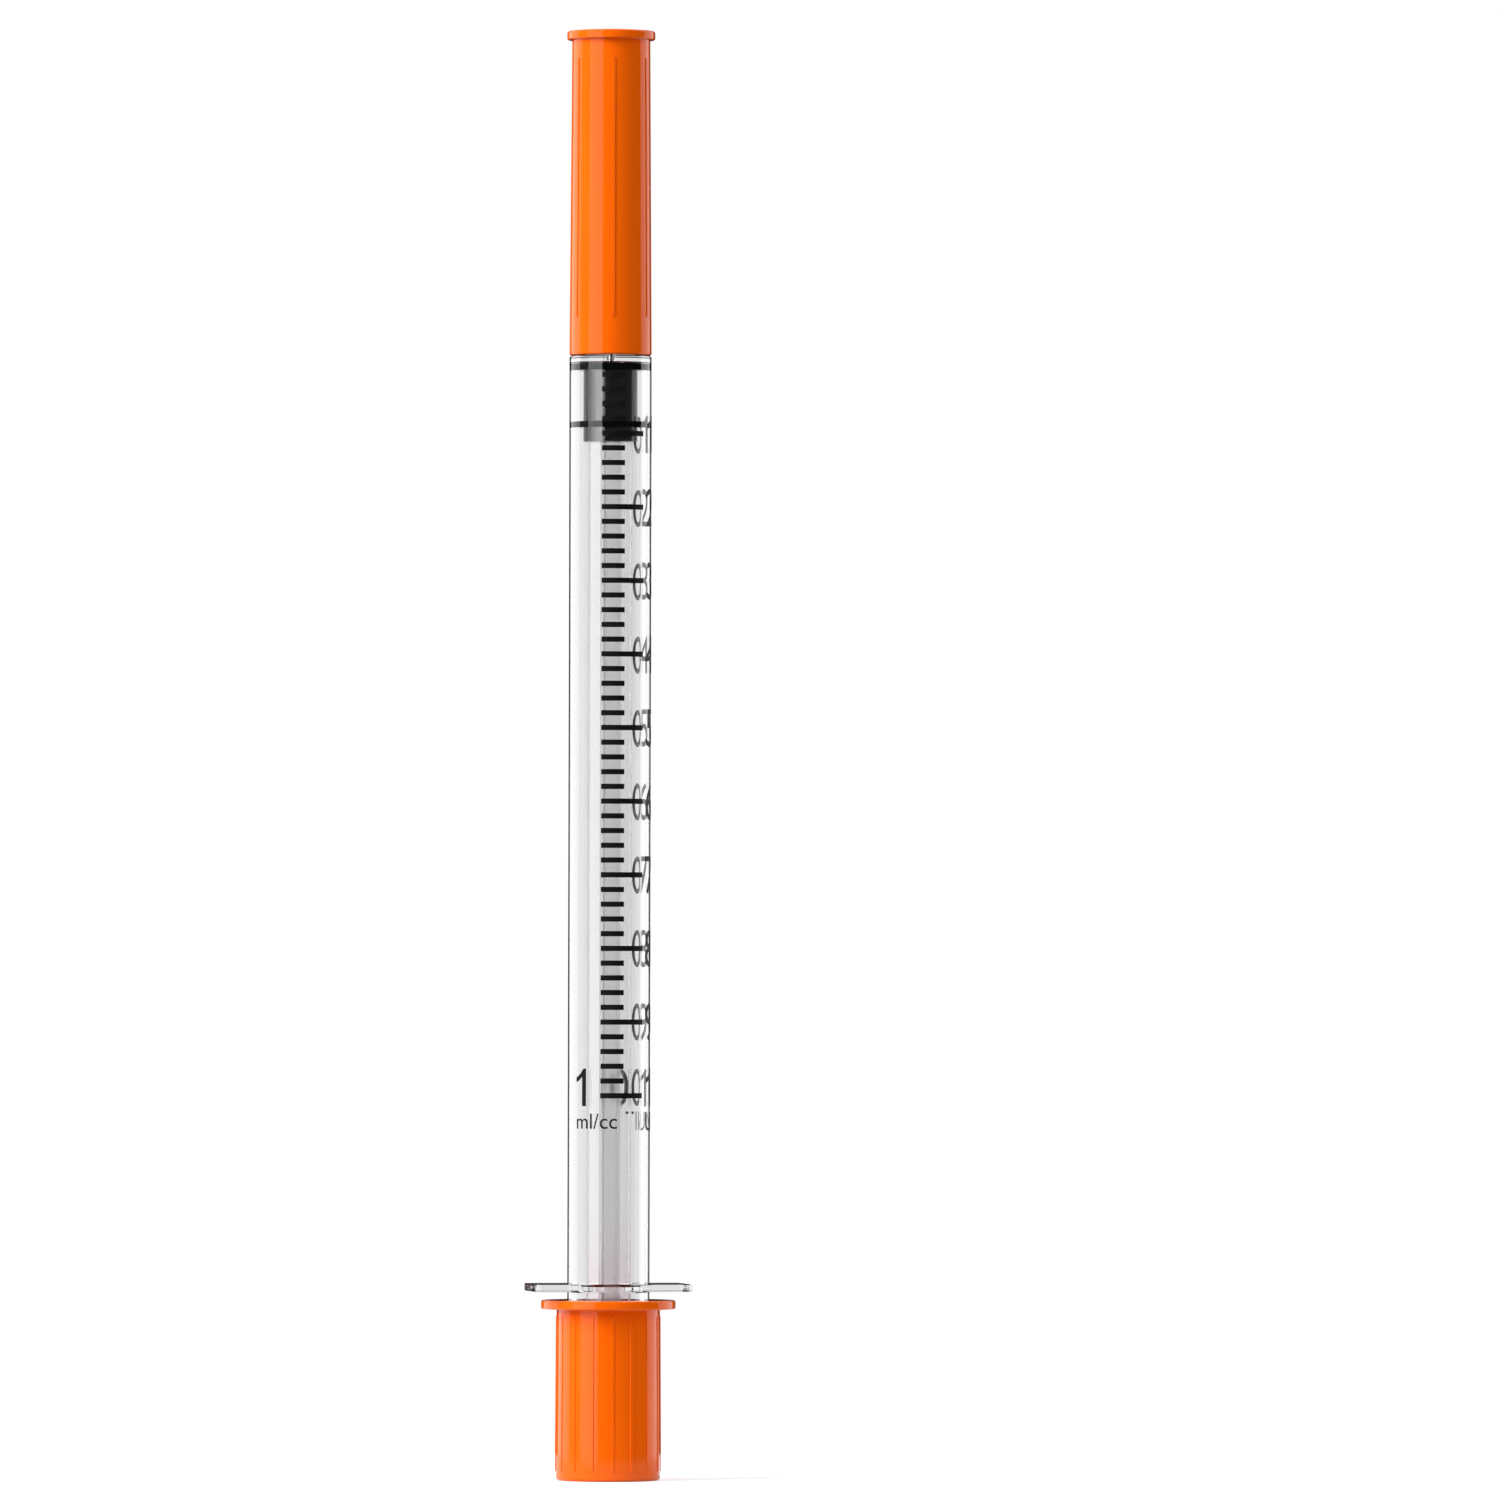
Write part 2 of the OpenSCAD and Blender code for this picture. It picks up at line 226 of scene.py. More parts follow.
# The table: a small round of pale paper that the syringe stands on. The camera and
# reflections see it as white as the studio, and it still takes the syringe's shadow.
paper_white = 0.6
paper_glow = 0.6
table_radius = 60 * mm
table_mesh = bmesh.new()
bmesh.ops.create_circle(table_mesh, cap_ends=True, segments=96, radius=table_radius)
table = bpy.data.objects.new("table", bpy.data.meshes.new("table"))
table_mesh.to_mesh(table.data)
table_mesh.free()
bpy.context.scene.collection.objects.link(table)
table_paper = bpy.data.materials.new("table_paper")
table_paper.use_nodes = True
tree = table_paper.node_tree
tree.nodes.clear()
ray = tree.nodes.new("ShaderNodeLightPath").outputs
seen = combined(tree, "MAXIMUM", ray["Is Camera Ray"], ray["Is Glossy Ray"])
seen = combined(tree, "MAXIMUM", seen, ray["Is Transmission Ray"])
lit = tree.nodes.new("ShaderNodeBsdfDiffuse")
lit.inputs["Color"].default_value = (paper_white, paper_white, paper_white, 1)
shine = tree.nodes.new("ShaderNodeEmission")
tree.links.new(combined(tree, "MULTIPLY", seen, paper_glow), shine.inputs["Strength"])
both = tree.nodes.new("ShaderNodeAddShader")
tree.links.new(lit.outputs["BSDF"], both.inputs[0])
tree.links.new(shine.outputs["Emission"], both.inputs[1])
paper_out = tree.nodes.new("ShaderNodeOutputMaterial")
tree.links.new(both.outputs["Shader"], paper_out.inputs["Surface"])
table.data.materials.append(table_paper)

# The barrel: one clear moulded tube with a thin finger flange near its open end, a low
# ring inside the bore that stops the rubber, a front wall, and under the shield the
# boss and nose that hold the needle. Polished clear plastic, open right through.
barrel_low, barrel_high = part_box("barrel")
tube_r = 3.03
bore_r = 2.42
boss_r = 2.12
nose_foot_r = 1.385
nose_tip_r = 0.925
well_r = 0.45
well_foot_r = 0.3
hole_r = 0.175
backstop_r = bore_r - 0.1
stub_z = barrel_low.z / mm
nose_z = barrel_high.z / mm
backstop_z = stub_z + 3.3
flange_low_z = stub_z + 3.4
flange_high_z = flange_low_z + 0.55
boss_z = nose_z - 4.6
shoulder_z = boss_z - 3.7
bore_end_z = shoulder_z - 0.45
wing_rounding = 0.46
flange_rounding = 0.05


def bevelled(mesh, parts, width, segments, affect="EDGES"):
    """Rounds edges of a mesh, or corners of an outline, and gives the new parts."""
    return bmesh.ops.bevel(
        mesh, geom=parts, offset=width, offset_type="OFFSET", segments=segments,
        profile=0.5, affect=affect, material=-1,
    )


def turned(outline, closed=True, steps=160):
    """Spins (radius, height, rounding) points in millimetres round the syringe's axis."""
    mesh = bmesh.new()
    corners = [mesh.verts.new((radius * mm, 0, height * mm)) for radius, height, _ in outline]
    pairs = list(zip(corners, corners[1:]))
    if closed:
        pairs.append((corners[-1], corners[0]))
    for pair in pairs:
        if max(corner.co.x for corner in pair) > 0:
            mesh.edges.new(pair)
    for rounding in sorted({point[2] for point in outline} - {0}):
        sharp = [corner for corner, point in zip(corners, outline) if point[2] == rounding]
        bevelled(mesh, sharp, rounding * mm, 5, affect="VERTICES")
    bmesh.ops.spin(
        mesh, geom=mesh.verts[:] + mesh.edges[:], cent=(0, 0, 0), axis=(0, 0, 1),
        angle=math.tau, steps=steps, use_merge=True,
    )
    bmesh.ops.remove_doubles(mesh, verts=mesh.verts, dist=0.002 * mm)
    return mesh


def finished(name, mesh, body, material, replaces=None):
    """Makes the mesh a smooth piece that rides on a body and wears a material.

    The small sharp angle keeps long walls true beside rounded edges.
    """
    bmesh.ops.recalc_face_normals(mesh, faces=mesh.faces)
    data = bpy.data.meshes.new(name)
    mesh.to_mesh(data)
    mesh.free()
    data.shade_smooth()
    data.set_sharp_from_angle(angle=math.radians(8))
    piece = bpy.data.objects.new(name, data)
    bpy.context.scene.collection.objects.link(piece)
    data.materials.append(material)
    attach(piece, body)
    if replaces:
        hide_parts(replaces)
    return piece


def surfaced(name):
    """A new material, its node tree and its surface."""
    material = bpy.data.materials.new(name)
    material.use_nodes = True
    return material, material.node_tree, material.node_tree.nodes["Principled BSDF"]


def piece_noise(tree, scale, detail=2, along=1):
    """A noise fixed to the piece, drawn out along the syringe where along is below 1."""
    spot = tree.nodes.new("ShaderNodeTexCoord")
    stretch = tree.nodes.new("ShaderNodeMapping")
    stretch.inputs["Scale"].default_value = (1, 1, along)
    noise = tree.nodes.new("ShaderNodeTexNoise")
    noise.inputs["Scale"].default_value = scale
    noise.inputs["Detail"].default_value = detail
    tree.links.new(spot.outputs["Object"], stretch.inputs["Vector"])
    tree.links.new(stretch.outputs["Vector"], noise.inputs["Vector"])
    return noise.outputs["Fac"]


def rippled(tree, surface, noise, strength, height):
    """Lets a noise ripple a surface by up to a height in millimetres."""
    bump = tree.nodes.new("ShaderNodeBump")
    bump.inputs["Strength"].default_value = strength
    bump.inputs["Distance"].default_value = height * mm
    tree.links.new(noise, bump.inputs["Height"])
    tree.links.new(bump.outputs["Normal"], surface.inputs["Normal"])


def moulded_clear(name, tint, smooth, cloudy, grain, rim_shade_grey=0.1, rim_r=0, murk=0, satin=()):
    """Clear moulding plastic: faint flow marks in its gloss and painted shade, a grey rim painted into
    its colour where it is seen edge on.

    With rim_r, only the wall of that radius has the painted rim shade. Murk darkens it inside, and
    between the two x of each pair in satin it has a satin skin.
    """
    material, tree, plastic = surfaced(name)
    plastic.inputs["IOR"].default_value = 1.49
    plastic.inputs["Transmission Weight"].default_value = 1
    spot = tree.nodes.new("ShaderNodeTexCoord").outputs["Object"]
    facing = tree.nodes.new("ShaderNodeLayerWeight")
    facing.inputs["Blend"].default_value = 0.5
    rim_from, rim_to = (0.7, 0.78) if rim_r else (0.72, 0.93)
    # Painted shade: the colour darkens to a grey where the surface is seen edge on, standing in for
    # the dark edges of clear plastic.
    rim = ramp(tree, facing.outputs["Facing"], rim_from, rim_to)
    if rim_r:
        level_spot = vector_step(tree, "MULTIPLY", spot, (1, 1, 0))
        off_axis = vector_step(tree, "LENGTH", level_spot, gives="Value")
        wall_tolerance = 0.02 * mm
        on_wall = combined(tree, "COMPARE", off_axis, rim_r * mm, wall_tolerance)
        rim = combined(tree, "MULTIPLY", rim, on_wall)
    tint_and_rim_shade = blend(tree, rim, (*tint, 1), (rim_shade_grey, rim_shade_grey, rim_shade_grey, 1))
    tint_and_rim_shade.node.name = "tint_and_rim_shade"
    tree.links.new(tint_and_rim_shade, plastic.inputs["Base Color"])
    flow = piece_noise(tree, grain, detail=3, along=0.12)
    rippled(tree, plastic, flow, strength=0.02, height=0.005)
    roughness = ramp(tree, flow, 0, 1, smooth, cloudy)
    sides = tree.nodes.new("ShaderNodeSeparateXYZ")
    tree.links.new(spot, sides.inputs["Vector"])
    satin_rough = 0.34
    satin_edge = 0.04
    for low_x, high_x in satin:
        half_wide = (high_x - low_x) / 2
        beside = combined(tree, "SUBTRACT", sides.outputs["X"], (low_x + high_x) / 2 * mm)
        beside = combined(tree, "ABSOLUTE", beside)
        skin = ramp(tree, beside, half_wide * mm, (half_wide + satin_edge) * mm, satin_rough, 0)
        roughness = combined(tree, "MAXIMUM", skin, roughness)
    tree.links.new(roughness, plastic.inputs["Roughness"])
    if murk:
        inside = tree.nodes.new("ShaderNodeVolumeAbsorption")
        inside.inputs["Color"].default_value = (0.02, 0, 0.01, 1)
        inside.inputs["Density"].default_value = murk / mm
        tree.links.new(inside.outputs["Volume"], tree.nodes["Material Output"].inputs["Volume"])
    return material


# The tube's outer wall has a near-black painted rim shade where it is seen edge on.
clear_plastic = moulded_clear(
    "clear_plastic", tint=(0.985, 0.988, 0.992), smooth=0, cloudy=0.02, grain=900,
    rim_shade_grey=0.001, rim_r=tube_r,
)
barrel_outline = [
    (tube_r, flange_low_z, 0),
    (tube_r, stub_z, 0.12),
    (bore_r, stub_z, 0.12),
    (bore_r, backstop_z, 0),
    (backstop_r, backstop_z + 0.2, 0.04),
    (backstop_r, backstop_z + 0.45, 0.04),
    (bore_r, backstop_z + 0.65, 0),
    (bore_r, bore_end_z, 0.12),
    (hole_r, bore_end_z, 0),
    (hole_r, bore_end_z + 0.11, 0),
    (well_foot_r, shoulder_z, 0),
    (well_foot_r, nose_z - 2.92, 0),
    (well_r, nose_z - 2.8, 0),
    (well_r, nose_z, 0.08),
    (nose_tip_r, nose_z, 0.12),
    (nose_foot_r, boss_z, 0),
    (boss_r, boss_z, 0.12),
    (boss_r, shoulder_z, 0.1),
    (tube_r, shoulder_z, 0.14),
    (tube_r, flange_high_z, 0),
]
barrel_mesh = turned(barrel_outline, closed=False, steps=192)

# The flange's plate is a box with round corners, filled in round the tube. That is done
# in millimetres, because in metres the mesh is too small for the operators' tolerances.
bmesh.ops.scale(barrel_mesh, verts=barrel_mesh.verts, vec=(1 / mm, 1 / mm, 1 / mm))
plate = bmesh.ops.create_cube(barrel_mesh, size=2)["verts"]
plate_size = (barrel_high.x / mm, barrel_high.y / mm, (flange_high_z - flange_low_z) / 2)
bmesh.ops.scale(barrel_mesh, verts=plate, vec=plate_size)
bmesh.ops.translate(barrel_mesh, verts=plate, vec=(0, 0, (flange_high_z + flange_low_z) / 2))
plate_edges = dict.fromkeys(edge for corner in plate for edge in corner.link_edges)
wing_corners = [edge for edge in plate_edges if abs(edge.verts[0].co.z - edge.verts[1].co.z) > 0.1]
bevelled(barrel_mesh, wing_corners, wing_rounding, 14)
plate_faces = sorted(barrel_mesh.faces, key=lambda face: len(face.verts))[-2:]
bevelled(barrel_mesh, [edge for face in plate_faces for edge in face.edges], flange_rounding, 2)
plate_faces = sorted(barrel_mesh.faces, key=lambda face: len(face.verts))[-2:]
bmesh.ops.delete(barrel_mesh, geom=plate_faces, context="FACES_ONLY")
for height in (flange_low_z, flange_high_z):
    at_height = [
        edge for edge in barrel_mesh.edges
        if edge.is_boundary and all(abs(end.co.z - height) < 0.01 for end in edge.verts)
    ]
    bmesh.ops.triangle_fill(barrel_mesh, edges=at_height, use_beauty=True, normal=(0, 0, 1))
bmesh.ops.scale(barrel_mesh, verts=barrel_mesh.verts, vec=(mm, mm, mm))
finished("barrel_clear", barrel_mesh, "barrel", clear_plastic, "barrel")

# The needle: a fine drawn steel tube, ground to a slant point and let into the nose.
# It runs from the end of the bore through the front wall, under the orange shield.
needle_low, needle_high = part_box("cannula")
needle_r = 0.165
needle_bore_r = 0.085
point_length = 1.1
needle_foot_z = needle_low.z / mm
needle_tip_z = needle_high.z / mm
needle_mesh = turned([
    (needle_r, needle_foot_z, 0),
    (needle_bore_r, needle_foot_z, 0),
    (needle_bore_r, needle_tip_z, 0),
    (needle_r, needle_tip_z, 0),
], steps=48)
slant = Vector((point_length, 0, 2 * needle_r)).normalized()
bmesh.ops.bisect_plane(
    needle_mesh, geom=needle_mesh.verts[:] + needle_mesh.edges[:] + needle_mesh.faces[:],
    plane_co=(-needle_r * mm, 0, needle_tip_z * mm), plane_no=slant, clear_outer=True,
)
bmesh.ops.bridge_loops(needle_mesh, edges=[edge for edge in needle_mesh.edges if edge.is_boundary])


def mottled(tree, surface, noise, dark, light, smooth, rough):
    """Lets a noise take a surface from dark to light and from smooth to rough."""
    tree.links.new(blend(tree, noise, (*dark, 1), (*light, 1)), surface.inputs["Base Color"])
    tree.links.new(ramp(tree, noise, 0, 1, smooth, rough), surface.inputs["Roughness"])


steel, tree, drawn = surfaced("needle_steel")
drawn.inputs["Metallic"].default_value = 1
draw_lines = piece_noise(tree, 9000, along=0.02)
mottled(tree, drawn, draw_lines, (0.62, 0.63, 0.65), (0.8, 0.81, 0.83), smooth=0.18, rough=0.34)
finished("needle_tube", needle_mesh, "barrel", steel, "cannula")

# The glue: a bead of clear cured adhesive that fills the nose's well round the needle.
# It creeps a little way up the needle, so its top is a small hollow cone.
glue_low, glue_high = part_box("needle_adhesive")
glue_r = glue_high.x / mm
creep_r = 0.26
glue_low_z = glue_low.z / mm
glue_high_z = glue_high.z / mm
glue_mesh = turned([
    (glue_r, glue_low_z, 0.05),
    (hole_r, glue_low_z, 0),
    (hole_r, glue_high_z, 0),
    (0.2, glue_high_z - 0.04, 0),
    (creep_r, glue_high_z - 0.14, 0.03),
    (0.6 * glue_r + 0.4 * creep_r, glue_high_z - 0.24, 0.03),
    (glue_r, glue_high_z - 0.34, 0.02),
], steps=64)
# The glue has the default dark grey painted rim shade where it is seen edge on.
cured_glue = moulded_clear(
    "cured_glue", tint=(0.93, 0.94, 0.86), smooth=0.08, cloudy=0.2, grain=2500,
)
finished("needle_glue", glue_mesh, "barrel", cured_glue, "needle_adhesive")

# The needle shield: an orange moulded tube, closed at its tip, with a collar round the
# tip and six fine grip ribs. It is pushed over the boss and pulled off before use.
shield_low, shield_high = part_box("needle_shield")
shield_foot_z = shield_low.z / mm
shield_tip_z = shield_high.z / mm
collar_r = shield_high.x / mm
collar_z = shield_tip_z - 0.65
foot_r = 3.03
tip_r = 2.88
grip_r = 2.15
grip_z = boss_z + 0.05
cavity_r = 1.88
cavity_z = shield_tip_z - 1
shield_ribs = 6


def grip_rib(mesh, angle, low, high, low_r, high_r, width, rise):
    """Adds a thin rounded rib along a moulded wall that narrows from low_r to high_r."""
    middle = (high + low) / 2 * mm
    rib = bmesh.ops.create_cube(mesh, size=1)["verts"]
    bmesh.ops.scale(mesh, verts=rib, vec=(2 * rise * mm, width * mm, (high - low) * mm))
    bmesh.ops.translate(mesh, verts=rib, vec=(0, 0, middle))
    top = [corner for corner in rib if corner.co.z > middle]
    foot = [corner for corner in rib if corner.co.z <= middle]
    bmesh.ops.translate(mesh, verts=top, vec=(high_r * mm, 0, 0))
    bmesh.ops.translate(mesh, verts=foot, vec=(low_r * mm, 0, 0))
    edges = list(dict.fromkeys(edge for corner in rib for edge in corner.link_edges))
    softened = bevelled(mesh, edges, 0.6 * rise * mm, 3)
    rib = list({corner for face in softened["faces"] for corner in face.verts})
    bmesh.ops.rotate(mesh, verts=rib, cent=(0, 0, 0), matrix=Matrix.Rotation(angle, 3, "Z"))


orange_plastic, tree, plastic = surfaced("orange_plastic")
plastic.inputs["IOR"].default_value = 1.5
plastic.inputs["Specular IOR Level"].default_value = 0.16
flow = piece_noise(tree, 420, detail=4, along=0.2)
mottled(tree, plastic, flow, (0.86, 0.105, 0.001), (0.93, 0.138, 0.002), smooth=0.04, rough=0.08)
rippled(tree, plastic, piece_noise(tree, 5200), strength=0.08, height=0.01)
shield_mesh = turned([
    (grip_r, shield_foot_z, 0.1),
    (foot_r, shield_foot_z, 0.15),
    (tip_r, collar_z, 0.06),
    (collar_r, collar_z, 0.12),
    (collar_r, shield_tip_z, 0.16),
    (0, shield_tip_z, 0),
    (0, cavity_z, 0),
    (cavity_r, cavity_z, 0.2),
    (grip_r, grip_z + 0.12, 0),
], steps=192)
for rib_number in range(shield_ribs):
    grip_rib(
        shield_mesh, math.radians(264 + 360 / shield_ribs * rib_number),
        low=shield_foot_z + 2.8, high=collar_z - 1.4, low_r=foot_r - 0.018, high_r=tip_r + 0.009,
        width=0.28, rise=0.065,
    )
finished("shield_orange", shield_mesh, "shield", orange_plastic, "needle_shield")

# The stopper: black moulded rubber with two sealing ribs and a flat face, wiped with a
# little silicone so that it shines. Where the ribs press on the bore, no air is left
# between them and nothing shines. A socket in its back takes the plunger rod's head.
stopper_low, stopper_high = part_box("stopper")
seal_r = bore_r + 0.01
stopper_r = 2.0
socket_r = 1.16
socket_mouth_r = 0.81
stopper_foot_z = stopper_low.z / mm
stopper_face_z = stopper_high.z / mm
rear_seal_z = stopper_face_z - 4.8
socket_low_z = stopper_face_z - 4.66
socket_high_z = stopper_face_z - 2.89
stopper_mesh = turned([
    (socket_mouth_r, stopper_foot_z, 0.08),
    (stopper_r, stopper_foot_z, 0.1),
    (stopper_r, rear_seal_z, 0),
    (seal_r, rear_seal_z + 0.05, 0.03),
    (seal_r, rear_seal_z + 0.5, 0.03),
    (stopper_r, rear_seal_z + 0.55, 0),
    (stopper_r, stopper_face_z - 0.58, 0),
    (seal_r, stopper_face_z - 0.53, 0.03),
    (seal_r, stopper_face_z - 0.03, 0.02),
    (seal_r - 0.05, stopper_face_z, 0),
    (0, stopper_face_z, 0),
    (0, socket_high_z, 0),
    (socket_r, socket_high_z, 0.1),
    (socket_r, socket_low_z, 0.1),
    (socket_mouth_r, socket_low_z, 0.06),
], steps=160)
rubber, tree, moulded = surfaced("black_rubber")
moulded.inputs["IOR"].default_value = 1.52
moulded.inputs["Specular IOR Level"].default_value = 0.7
bloom = piece_noise(tree, 1600, detail=5)
mottled(tree, moulded, bloom, (0.002, 0.002, 0.0025), (0.006, 0.006, 0.007), smooth=0.1, rough=0.18)
rippled(tree, moulded, bloom, strength=0.15, height=0.01)
stopper = finished("stopper_rubber", stopper_mesh, "stopper", rubber, "stopper")
pressed = rubber.copy()
pressed.name = "pressed_rubber"
pressed.node_tree.nodes["Principled BSDF"].inputs["Specular IOR Level"].default_value = 0
stopper.data.materials.append(pressed)
for face in stopper.data.polygons:
    if face.center.xy.length > bore_r * mm:
        face.material_index = 1

# The plunger rod: a clear moulding with four webs along the bore, a head that snaps
# into the stopper and a round thumb rest, which the orange cap covers.
rod_low, rod_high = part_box("plunger_rod")
web_reach = 1.6
web_thick = 1.1
thumb_r = rod_high.x / mm
neck_r = 0.75
head_r = 1.1
thumb_z = rod_low.z / mm
head_z = rod_high.z / mm
neck_z = head_z - 1.65
webs_low_z = thumb_z + 0.95
webs_high_z = stopper_foot_z - 0.05
web_end_gap = 0.002


def outermost(faces, outward):
    """The face whose middle is furthest out along a direction and nearest to its line."""
    def reach(face):
        middle = face.calc_center_median() / mm
        return middle.dot(outward) - abs(middle.cross(outward).z)
    return max(faces, key=reach)


rod_mesh = bmesh.new()
core = bmesh.ops.create_cube(rod_mesh, size=1)["verts"]
core_size = (web_thick * mm, web_thick * mm, (webs_high_z - webs_low_z) * mm)
bmesh.ops.scale(rod_mesh, verts=core, vec=core_size)
bmesh.ops.translate(rod_mesh, verts=core, vec=(0, 0, (webs_high_z + webs_low_z) / 2 * mm))
for side in range(4):
    outward = Matrix.Rotation(side * math.pi / 2, 3, "Z") @ Vector((1, 0, 0))
    flank = outermost(rod_mesh.faces, outward)
    web = bmesh.ops.extrude_discrete_faces(rod_mesh, faces=[flank])["faces"][0]
    bmesh.ops.translate(rod_mesh, verts=web.verts, vec=outward * (web_reach - web_thick / 2) * mm)
upright = [edge for edge in rod_mesh.edges if abs(edge.verts[0].co.z - edge.verts[1].co.z) > 1 * mm]
web_tips = [edge for edge in upright if edge.verts[0].co.xy.length > 1 * mm]
web_roots = [edge for edge in upright if edge.verts[0].co.xy.length < 1 * mm]
bevelled(rod_mesh, web_tips, 0.1 * mm, 4)
bevelled(rod_mesh, [edge for edge in web_roots if edge.is_valid], 0.15 * mm, 4)
thumb_rest = turned([
    (0, thumb_z, 0),
    (thumb_r, thumb_z, 0.2),
    (thumb_r, webs_low_z - web_end_gap, 0.2),
    (0, webs_low_z - web_end_gap, 0),
], closed=False, steps=128)
neck_and_head = turned([
    (0, webs_high_z + web_end_gap, 0),
    (neck_r, webs_high_z + web_end_gap, 0),
    (neck_r, neck_z, 0.05),
    (head_r, neck_z, 0.1),
    (head_r, head_z, 0.25),
    (0, head_z, 0),
], closed=False, steps=96)
for part in (thumb_rest, neck_and_head):
    part_data = bpy.data.meshes.new("rod_part")
    part.to_mesh(part_data)
    part.free()
    rod_mesh.from_mesh(part_data)
    bpy.data.meshes.remove(part_data)

# The two webs that point to the front and back have a satin skin, and the other two are
# clear, but for the right one's tip. Near the orange cap the rod has painted light: a pink tint
# painted into its colour for the cap's orange light that it carries.
rod_tint = (0.985, 0.986, 0.988)
cap_glow_tint = (0.965, 0.82, 0.85)
cap_glow_start_z = 20.5
cap_glow_full_z = 12
satin_webs = (-0.66, 0.87)
satin_tip = (1.58, 1.7)
# The rod has a pale grey painted rim shade where it is seen edge on.
rod_plastic = moulded_clear(
    "rod_plastic", tint=rod_tint, smooth=0, cloudy=0.03, grain=700,
    rim_shade_grey=0.6, murk=0.065, satin=(satin_webs, satin_tip),
)
tree = rod_plastic.node_tree
spot = tree.nodes.new("ShaderNodeTexCoord").outputs["Object"]
spot_parts = tree.nodes.new("ShaderNodeSeparateXYZ")
tree.links.new(spot, spot_parts.inputs["Vector"])
# Painted light: the rod's colour turns pink towards the cap, standing in for the cap's orange light.
cap_glow_share = ramp(tree, spot_parts.outputs["Z"], cap_glow_start_z * mm, cap_glow_full_z * mm)
painted_cap_glow = blend(tree, cap_glow_share, (*rod_tint, 1), (*cap_glow_tint, 1))
tree.links.new(painted_cap_glow, tree.nodes["tint_and_rim_shade"].inputs["A"])
finished("rod_clear", rod_mesh, "rod", rod_plastic, "plunger_rod")

# The plunger cap: an orange moulded cup pushed over the barrel's stub and the thumb
# rest, with a flat collar at its mouth and sixteen fine ribs to grip it by. The syringe
# stands on its closed end.
cap_low, cap_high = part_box("plunger_cap")
cap_end_r = 3.87
cap_mouth_r = 3.81
cap_bore_r = 3.06
cap_collar_r = cap_high.y / mm
cap_end_z = cap_low.z / mm
cap_floor_z = cap_end_z + 0.95
cap_mouth_z = cap_high.z / mm
cap_collar_z = cap_mouth_z - 0.66
cap_ribs = 16
cap_mesh = turned([
    (0, cap_end_z, 0),
    (cap_end_r, cap_end_z, 0.25),
    (cap_mouth_r, cap_collar_z, 0.08),
    (cap_collar_r, cap_collar_z, 0.14),
    (cap_collar_r, cap_mouth_z, 0.14),
    (cap_bore_r, cap_mouth_z, 0.12),
    (cap_bore_r, cap_floor_z, 0.2),
    (0, cap_floor_z, 0),
], steps=192)
for rib_number in range(cap_ribs):
    grip_rib(
        cap_mesh, math.radians(265 + 360 / cap_ribs * rib_number),
        low=cap_end_z + 0.7, high=cap_collar_z - 0.5, low_r=cap_end_r, high_r=cap_mouth_r,
        width=0.28, rise=0.05,
    )
finished("cap_orange", cap_mesh, "cap", orange_plastic, "plunger_cap")

# The printed lines: black ink, a fine one every two units round part of the tube and
# a longer one every ten. Each is a thin film on the tube's wall.
ink_foot = 0.001
ink_top = 0.02
line_tall = 0.39
line_start = math.radians(248.8)
fine_turn = math.radians(32.6)
ten_turn = math.radians(64.8)
zero_z = 82.59
unit_rise = 0.542
fine_units = [unit for unit in range(0, 101, 2) if unit % 10]
ten_units = range(10, 101, 10)
ink, tree, film = surfaced("black_ink")
film.inputs["Specular IOR Level"].default_value = 0.1
speckle = piece_noise(tree, 7000, detail=4)
mottled(tree, film, speckle, (0.002, 0.002, 0.0025), (0.009, 0.009, 0.01), smooth=0.45, rough=0.65)


def printed_lines(name, units, turn, node):
    """A thin curved line of ink at each of the units, turned by turn from the scale's left edge."""
    mesh = bmesh.new()
    for unit in units:
        middle = zero_z - unit_rise * unit
        low, high = middle - line_tall / 2, middle + line_tall / 2
        corners = [
            mesh.verts.new(((tube_r + rise) * mm, 0, height * mm))
            for rise, height in ((ink_foot, low), (ink_top, low), (ink_top, high), (ink_foot, high))
        ]
        end = mesh.faces.new(corners)
        placed = Matrix.Rotation(line_start, 3, "Z")
        bmesh.ops.rotate(mesh, verts=corners, cent=(0, 0, 0), matrix=placed)
        bmesh.ops.spin(
            mesh, geom=[end], cent=(0, 0, 0), axis=(0, 0, 1), angle=turn,
            steps=round(math.degrees(turn) / 2), use_merge=False,
        )
    bmesh.ops.remove_doubles(mesh, verts=mesh.verts, dist=0.0005 * mm)
    finished(name, mesh, "barrel", ink, node)


printed_lines("fine_lines", fine_units, fine_turn, "scale_fine_marks")
printed_lines("ten_lines", ten_units, ten_turn, "scale_ten_marks")

# The printed figures: plain upright numerals beside the longer lines, which read round
# the right of the tube, and small words for the units of the two scales. Ink as above.
figure_start = math.radians(316.25)
figure_advance = math.radians(43.5)
figure_tall = 2.77
figure_wide = 1.8
last_figure_rise = 0.58
cuts_per_mm = 6


def one_shape():
    """A flat mesh of a plain numeral one with a flag and no foot, one unit tall, and its size."""
    stem_left, stem_right, top = 0.21, 0.335, 1
    outline = [
        (stem_left, 0), (stem_right, 0), (stem_right, top), (0.255, top), (0.15, 0.86),
        (0, 0.755), (0, 0.63), (0.11, 0.69), (stem_left, 0.78),
    ]
    flat = bmesh.new()
    flat.faces.new([flat.verts.new((*corner, 0)) for corner in outline])
    return flat, Vector((stem_right, top, 0))


